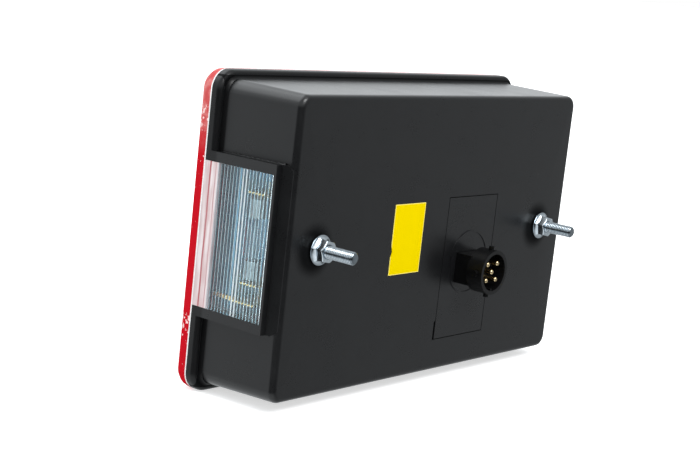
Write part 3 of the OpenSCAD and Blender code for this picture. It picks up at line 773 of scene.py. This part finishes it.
@finish("yellow_label")
def yellow_label(r, colours):
    """Paper label with a lighter cut edge."""
    low, high = corners("label")
    middle = (low + high) / 2
    half = (high - low) / 2 - 0.25 * MM
    field = r.axis("X").within(middle[0], half[0]) * r.axis("Z").within(middle[2], half[2])
    fibre = r.noise(0.35 * MM, 4)
    paper = r.blend(fibre, shade(colours.label, 0.72), shade(colours.label, 0.78))
    return r.surface(
        Base_Color=r.blend((1 - field) * 0.5, paper, CUT_YELLOW),
        Roughness=0.6 + (fibre - 0.5) * 0.15,
        Specular_IOR_Level=0.0,
        Normal=r.bump(fibre, 0.01 * MM),
    )


# Pieces.


def stud(side):
    """Stud: a hexagon head, a plain neck and a thread with a chamfered end.

    The thread's radius falls from the outer one by a trapezoid wave of y / pitch + angle / turn.
    """
    sizes = bpy.context.scene.lamp_sizes
    low, high = corners(f"stud_{side}")
    centre = (low + high) / 2
    centre[1] = 0
    flats = high[0] - low[0]
    nut_low, _ = corners(f"flange_nut_{side}")
    columns = 48
    angles = np.arange(columns) * 2 * math.pi / columns
    along = np.arange(high[1], nut_low[1], -sizes.thread_pitch / 16)
    wave = np.abs((along[:, None] / sizes.thread_pitch + angles / (2 * math.pi)) % 1 - 0.5) * 2
    crest = 0.12
    groove = np.clip((wave - crest) / (1 - 2 * crest), 0, 1)
    tip = STUD_R - 0.6 * MM + (high[1] - along)[:, None]
    thread = np.minimum(STUD_R - sizes.thread_depth * groove, tip)
    head_top = low[1] + 3.5 * MM
    neck_y = np.array([nut_low[1], head_top])
    neck = np.full((2, columns), sizes.neck)
    corner = flats / math.sqrt(3)
    chamfer = 0.3 * MM
    head_y = np.array([head_top, low[1] + 2 * chamfer, low[1] + chamfer, low[1]])
    cone = np.array([corner, corner, corner - chamfer, flats / 2 - 0.2 * MM])
    head = np.minimum(hexagon(angles, flats)[None, :], cone[:, None])
    rings = turned(centre, np.concatenate([along, neck_y, head_y]), np.vstack([thread, neck, head]))
    new_piece(f"stud_{side}_threaded", skin(rings), "zinc_steel", [f"stud_{side}"], crease=70)


def flange_nut(side, turn):
    """Flange nut: one closed section carried round the stud.

    Its radius blends from a round dish into a hexagon, and a cone takes off the outer corners.
    """
    sizes = bpy.context.scene.lamp_sizes
    low, high = corners(f"flange_nut_{side}")
    centre = (low + high) / 2
    centre[1] = 0
    top = high[1]
    reach = (high[0] - low[0]) / 2
    stud_low, stud_high = corners(f"stud_{side}")
    flats = stud_high[0] - stud_low[0]
    columns = 240
    angles = np.arange(columns) * 2 * math.pi / columns
    sided = hexagon(angles - turn, flats, 90)
    rim_y = np.array([0, 0.12, 0.4, 0.8]) * MM
    rim = rounds(reach - np.array([0.35, 0.1, 0, 0.05]) * MM, columns)
    steps = np.linspace(0, 1, 9)
    dish_y = rim_y[-1] + steps ** 1.6 * (sizes.nut_collar - rim_y[-1])
    dish_r = reach - 0.15 * MM
    dish = dish_r + steps[:, None] * (sided[None, :] - dish_r)
    prism_y = sizes.nut_collar + np.linspace(0.05, 1, 30) * (top - sizes.nut_collar)
    cone = flats / 2 - 0.15 * MM + (top - prism_y)[:, None] * 1.6
    prism = (sided[None, :] ** -40 + cone ** -40) ** (-1 / 40)
    bore = STUD_R + 0.05 * MM
    chamfer = 0.35 * MM
    inner_y = np.array([top, top - chamfer, chamfer, 0])
    inner = rounds(bore + np.array([0.45, 0, 0, 0.4]) * MM, columns)
    rings = turned(
        centre,
        np.concatenate([rim_y, dish_y, prism_y, inner_y]),
        np.vstack([rim, dish, prism, inner]),
    )
    solid = skin(rings, loop=True)
    new_piece(f"flange_nut_{side}_turned", solid, "zinc_steel", [f"flange_nut_{side}"], crease=40)


def pin(node):
    """Contact pin with a domed tip: its radius follows a quarter ellipse at the end."""
    low, high = corners(node)
    centre = (low + high) / 2
    centre[1] = 0
    radius = (high[0] - low[0]) / 2
    dome_height = 0.9 * MM
    dome = np.linspace(0.05, 1, 9) * math.pi / 2
    along = np.append(high[1] - dome_height * (1 - np.cos(dome)), low[1])
    radii = np.append(radius * np.sin(dome), radius)
    new_piece(f"{node}_domed", skin(turned(centre, along, rounds(radii, 24))), "pin_brass", [node])


def label():
    """Paper label: its +X edge steps in at a notch, and the sheet lifts a little there.

    The notch is a triangle wave of the height, and the lift is a Gaussian hump at the edge.
    """
    low, high = corners("label")
    rows = np.linspace(low[2], high[2], 61)[:, None]
    across = np.linspace(0, 1, 33)[None, :]
    notch_z, notch_half, notch_depth = np.array([-4.2, 2.4, 0.75]) * MM
    notch = np.clip(1 - np.abs(rows - notch_z) / notch_half, 0, 1)
    x = low[0] + (high[0] - notch_depth * notch - low[0]) * across
    z = rows + 0 * across
    lift_z, lift_reach, lift_height = np.array([-3.2, 1.6, 0.1]) * MM
    hump = np.exp(-((across - 1) / 0.12) ** 2) * np.exp(-((rows - lift_z) / lift_reach) ** 2)
    lift = lift_height * hump
    front = np.stack([x, high[1] + lift, z], axis=-1)
    back = np.stack([x, low[1] + lift * 0.6, z], axis=-1)
    new_piece("label_sheet", slab(front, back), "yellow_label", ["label"], crease=60)


def window():
    """Fluted window: a plate whose inner face carries shallow ribs, the relief 1 - w^2 across each."""
    sizes = bpy.context.scene.lamp_sizes
    low, high = corners("plate_window")
    plain = high[0] - sizes.window_wall
    rib = plain - low[0]
    along = np.linspace(low[1], high[1], sizes.flutes * 16 + 1)
    share = (along - low[1] - FLUTE_MARGIN) / (high[1] - low[1] - 2 * FLUTE_MARGIN) * sizes.flutes
    wave = 2 * (share % 1) - 1
    relief = np.where((share > 0) & (share < sizes.flutes), 1 - wave ** 2, 0) * sizes.flute_share
    rows = np.linspace(low[2], high[2], 9)[:, None]
    y = along[None, :] + 0 * rows
    z = rows + 0 * y
    outer_face = np.stack([np.full_like(y, high[0]), y, z], axis=-1)
    inner_face = np.stack([plain - rib * relief[None, :] + 0 * y, y, z], axis=-1)
    solid = slab(outer_face, inner_face)
    new_piece("plate_window_fluted", solid, "clear_window", ["plate_window"], crease=50)


def flash(name, side):
    """Moulding flash where a rail of the window frame meets the wall: a thread of uneven thickness.

    It runs along the wall, which spreads with depth, and thickens to a lump at the frame's rear corner.
    """
    low, high = corners("plate_window")
    share = np.linspace(0, 1, 160)
    depth = low[1] + 3 * MM + share * (high[1] - low[1] - 1 * MM)
    path = np.stack([
        FLASH_X - WALL_SPREAD * depth + 0.08 * MM * np.sin(share * 41),
        depth,
        side * (high[2] + FRAME_RAIL) + 0.1 * MM * np.sin(share * 63 + 1),
    ], axis=-1)
    thick = 0.2 + 0.06 * np.sin(share * 87) + 0.05 * np.sin(share * 141 + 2) + 0.5 * share ** 40
    new_piece(name, tube(path, thick * MM, (0, 0, 1)), "housing_plastic", crease=60)


def glass_shell(along, radii, wall, centre):
    """Thin glass: the outer profile goes from the crown to the open end, the inner one back."""
    drop = np.linspace(wall, 0, len(along))
    inner = np.maximum(radii - wall, radii * 0.3)
    profile = rounds(np.concatenate([radii, inner[::-1]]), 48)
    return skin(turned(centre, np.concatenate([along, (along - drop)[::-1]]), profile, axis=2))


def main_bulb(name):
    """Pear-shaped glass: the high-power mean of a sphere and a neck.

    Inside are a coiled filament, its two posts and the glass bead that they pass.
    """
    sizes = bpy.context.scene.lamp_sizes
    node = f"{name}_bulb_glass"
    low, high = corners(node)
    centre = (low + high) / 2
    centre[2] = 0
    ball = (high[0] - low[0]) / 2
    middle = high[2] - ball
    crown = middle + ball * np.cos(np.linspace(0.06, 2.0, 40))
    down = np.concatenate([crown, np.linspace(middle - ball * 0.5, low[2], 12)])
    sphere = np.sqrt(np.clip(ball ** 2 - (down - middle) ** 2, 0, None))
    neck = np.where(down < middle, sizes.bulb_neck, 0)
    radii = (sphere ** 8 + neck ** 8) ** (1 / 8)
    shell = glass_shell(down, radii, sizes.glass_wall, centre)
    new_piece(f"{node}_blown", shell, "bulb_glass", [node])
    reach = 4.5 * MM
    foot = 1.6 * MM
    sag = 1.2 * MM
    turns = np.linspace(0, 14 * 2 * math.pi, 260)
    share = turns / turns[-1] * 2 - 1
    coil = np.stack([
        centre[0] + reach * share,
        centre[1] + sizes.coil * np.cos(turns),
        middle + sizes.coil * np.sin(turns) - sag * share ** 2,
    ], axis=-1)
    height = np.linspace(low[2] - 1 * MM, middle - sag, 12)
    climb = (height - height[0]) / (height[-1] - height[0])
    posts = []
    for end in (-1, 1):
        lean = end * (foot + (reach - foot) * climb ** 1.5)
        post = np.stack([centre[0] + lean, centre[1] + 0 * lean, height], axis=-1)
        posts.append(tube(post, 0.3 * MM, (0, 1, 0)))
    bead_z = np.linspace(low[2] + 3 * MM, low[2] + 9 * MM, 9)
    bead_r = 1.4 * MM * np.sin(np.linspace(0.15, math.pi - 0.15, 9))
    bead = skin(turned(centre, bead_z, rounds(bead_r, 16), axis=2))
    filament = tube(coil, sizes.wire, (1, 0, 0), 6)
    new_piece(f"{name}_filament", joined(filament, *posts, bead), "bulb_metal", crease=60)


def festoon_bulb():
    """Tube bulb: glass drawn in at both ends, and a coiled filament between two hooks."""
    sizes = bpy.context.scene.lamp_sizes
    low, high = corners("plate_bulb_glass")
    centre = (low + high) / 2
    half = (high[2] - low[2]) / 2
    radius = (high[0] - low[0]) / 2
    drawn_in = 0.9 * MM
    wall = 0.45 * MM
    along = np.linspace(1, -1, 41)
    radii = radius - drawn_in * along ** 6
    profile = rounds(np.concatenate([radii, (radii - wall)[::-1]]), 48)
    rings = turned(centre, np.concatenate([along, along[::-1]]) * half, profile, axis=2)
    new_piece("plate_bulb_glass_drawn", skin(rings, loop=True), "bulb_glass", ["plate_bulb_glass"])
    sag = 0.8 * MM
    turns = np.linspace(0, 16 * 2 * math.pi, 300)
    share = turns / turns[-1] * 2 - 1
    coil = np.stack([
        centre[0] + sizes.coil * np.cos(turns) - sag * (1 - share ** 2),
        centre[1] + sizes.coil * np.sin(turns),
        centre[2] + share * half * 0.62,
    ], axis=-1)
    hooks = []
    for end in (-1, 1):
        height = np.linspace(0.6, 1.05, 6) * end * half + centre[2]
        hook = np.stack([centre[0] + 0 * height, centre[1] + 0 * height, height], axis=-1)
        hooks.append(tube(hook, 0.25 * MM, (1, 0, 0)))
    filament = tube(coil, sizes.wire, (0, 0, 1), 6)
    new_piece("plate_bulb_filament", joined(filament, *hooks), "bulb_metal", crease=60)


def dress(*nodes):
    """Gives CAD nodes whose shape is right the finish of their slot."""
    for node in nodes:
        materials = frame["nodes"][node].data.materials
        materials.clear()
        materials.append(FINISHES[SLOT_OF[node]]())


# Stage.

CAMERA_PLACE = (510.849 * MM, 359.189 * MM, 105.300 * MM)
CAMERA_TURN = (80.0936, -6.2031, 129.552)
CAMERA_LENS = 79.172
FLOOR_REACH = 40.0
KEY_PLACE = (0.3, 1.3, 1.6)
KEY_POWER = 26
DARK_WALL = (0.783, 0.622, 0.0)
DIM_WALL = (-0.771, 0.613, -0.171)
BRIGHT_WALL = (-0.771, -0.613, 0.171)
SOFTBOX = (0.15, -0.62, 0.77)


def key_light():
    """Soft square light, a metre wide, that faces the lamp."""
    data = bpy.data.lights.new("key", "AREA")
    data.energy = KEY_POWER
    data.size = 1.0
    made = bpy.data.objects.new("key", data)
    made.location = KEY_PLACE
    direction = -np.array(KEY_PLACE)
    made.rotation_euler = (
        math.acos(-direction[2] / np.linalg.norm(direction)),
        0,
        math.atan2(direction[1], direction[0]) - math.pi / 2,
    )
    bpy.context.scene.collection.objects.link(made)


def camera():
    """Camera fitted to the photo."""
    data = bpy.data.cameras.new("camera")
    data.sensor_width = 36
    data.lens = CAMERA_LENS
    data.clip_start = 0.01
    made = bpy.data.objects.new("camera", data)
    made.location = CAMERA_PLACE
    made.rotation_euler = [math.radians(a) for a in CAMERA_TURN]
    bpy.context.scene.collection.objects.link(made)
    bpy.context.scene.camera = made


def seen(r):
    """1 for the rays that show the floor: the camera's, glossy and clear ones."""
    names = ("Camera", "Glossy", "Transmission")
    rays = [r.node("ShaderNodeLightPath", output=f"Is {name} Ray") for name in names]
    return (rays[0] + rays[1] + rays[2]).rise(0, 1)


def towards(r, direction):
    """Cosine between the world's direction and a given one."""
    ray = r.node("ShaderNodeTexCoord", output="Generated")
    return r.node(
        "ShaderNodeVectorMath", {"operation": "DOT_PRODUCT"}, {0: ray, 1: direction}, output="Value"
    )


def backdrop():
    """World: a white room, dark behind the photographer, dim on the right and bright behind the lamp.

    A softbox hangs over the lamp. The camera sees plain white.
    """
    world = bpy.data.worlds.new("studio")
    world.use_nodes = True
    r = Recipe(world.node_tree)
    camera_ray = r.node("ShaderNodeLightPath", output="Is Camera Ray")
    height = towards(r, (0, 0, 1))
    dark = towards(r, DARK_WALL).rise(0.15, 0.6) * (1 - abs(height + 0.12).rise(0.12, 0.45))
    dim = towards(r, DIM_WALL).rise(0.2, 0.8) * 0.58
    bright = towards(r, BRIGHT_WALL).rise(0.7, 0.95) * 0.5
    softbox = towards(r, SOFTBOX).rise(0.84, 0.93) * 1.8
    room = (1 - dark) * (1 - dim) * (1 + bright + softbox)
    strength = room * (1 - camera_ray) + camera_ray
    air = r.blend(camera_ray, ROOM_AIR, WHITE)
    sky = r.node("ShaderNodeBackground", None, {"Color": air, "Strength": strength})
    r.put_out(sky, "ShaderNodeOutputWorld")
    bpy.context.scene.world = world


def floor():
    """Plain pale floor under the lamp, a little brighter to the camera so that it meets the backdrop."""
    low, _ = CAD_BOX
    square = np.array([[-1, -1], [1, -1], [1, 1], [-1, 1]]) * FLOOR_REACH
    points = np.column_stack([square, np.full(4, low.z)])
    mesh = bpy.data.meshes.new("floor")
    mesh.from_pydata(points.tolist(), [], [(0, 1, 2, 3)])
    made = bpy.data.objects.new("floor", mesh)
    made.visible_glossy = False
    bpy.context.scene.collection.objects.link(made)
    material = bpy.data.materials.new("floor_paper")
    material.use_nodes = True
    r = Recipe(material.node_tree)
    paper = r.surface(
        Base_Color=(0.85, 0.85, 0.85), Roughness=0.9, Specular_IOR_Level=0.0,
        Emission_Color=r.tone((0.6, 0.6, 0.6), seen(r)), Emission_Strength=1.0,
    )
    r.put_out(paper)
    mesh.materials.append(material)


# Operators and panel.


class MakeHousing(bpy.types.Operator):
    """Housing and socket plate with their black plastic and moulding flash"""

    bl_idname = "rear_lamp.housing"
    bl_label = "Housing"

    def execute(self, context):
        for node in ("housing", "socket_plate"):
            smooth_copy(node)
        flash("upper_flash", 1)
        flash("lower_flash", -1)
        return {"FINISHED"}


class MakeLens(bpy.types.Operator):
    """Lens, amber field, reflector and seal"""

    bl_idname = "rear_lamp.lens"
    bl_label = "Lens"

    def execute(self, context):
        smooth_copy("lens_red")
        dress("lens_amber", "reflex_reflector", "lens_seal")
        return {"FINISHED"}


class MakeWindow(bpy.types.Operator):
    """Fluted number plate window"""

    bl_idname = "rear_lamp.window"
    bl_label = "Window"

    def execute(self, context):
        window()
        return {"FINISHED"}


class MakeFixings(bpy.types.Operator):
    """Studs, flange nuts and lens screws"""

    bl_idname = "rear_lamp.fixings"
    bl_label = "Fixings"

    def execute(self, context):
        sizes = context.scene.lamp_sizes
        for side, turn in (("left", sizes.left_turn), ("right", sizes.right_turn)):
            stud(side)
            flange_nut(side, turn)
        dress(*SCREWS)
        return {"FINISHED"}


class MakeSocket(bpy.types.Operator):
    """Bayonet socket with its insert, seal and pins"""

    bl_idname = "rear_lamp.socket"
    bl_label = "Socket"

    def execute(self, context):
        smooth_copy("bayonet_socket")
        dress("pin_carrier", "socket_seal")
        for node in PINS:
            pin(node)
        return {"FINISHED"}


class MakeLabel(bpy.types.Operator):
    """Bare yellow label"""

    bl_idname = "rear_lamp.label"
    bl_label = "Label"

    def execute(self, context):
        label()
        return {"FINISHED"}


class MakeInside(bpy.types.Operator):
    """Bulb carrier, holders, bulbs, contacts and brass strips"""

    bl_idname = "rear_lamp.inside"
    bl_label = "Inside"

    def execute(self, context):
        smooth_copy("bulb_carrier")
        for name in BULBS:
            dress(f"{name}_holder", f"{name}_bulb_base")
            main_bulb(name)
        festoon_bulb()
        dress("plate_bulb_cap_upper", "plate_bulb_cap_lower", "plate_contact_upper", "plate_contact_lower")
        dress(*STRIPS)
        return {"FINISHED"}


class MakeStage(bpy.types.Operator):
    """Floor, backdrop, lights and camera"""

    bl_idname = "rear_lamp.stage"
    bl_label = "Stage"

    def execute(self, context):
        floor()
        backdrop()
        key_light()
        camera()
        context.scene.view_settings.view_transform = "Standard"
        return {"FINISHED"}


OPERATORS = (
    MakeHousing, MakeLens, MakeWindow, MakeFixings, MakeSocket, MakeLabel, MakeInside, MakeStage
)


class LampPanel(bpy.types.Panel):
    """Lists the lamp's pieces in the sidebar"""

    bl_idname = "VIEW3D_PT_rear_lamp"
    bl_label = "Rear Lamp"
    bl_space_type = "VIEW_3D"
    bl_region_type = "UI"
    bl_category = "Rear Lamp"

    def draw(self, context):
        for operator in OPERATORS:
            self.layout.operator(operator.bl_idname)
        for group in (context.scene.lamp_sizes, context.scene.lamp_colours):
            for name in group.__annotations__:
                self.layout.prop(group, name)


CLASSES = (LampSizes, LampColours, *OPERATORS, LampPanel)


def register():
    for each in CLASSES:
        bpy.utils.register_class(each)
    bpy.types.Scene.lamp_sizes = PointerProperty(type=LampSizes)
    bpy.types.Scene.lamp_colours = PointerProperty(type=LampColours)


def unregister():
    del bpy.types.Scene.lamp_colours
    del bpy.types.Scene.lamp_sizes
    for each in reversed(CLASSES):
        bpy.utils.unregister_class(each)


def main():
    register()
    for operator in OPERATORS:
        group, name = operator.bl_idname.split(".")
        getattr(getattr(bpy.ops, group), name)()


if __name__ == "__main__":
    main()
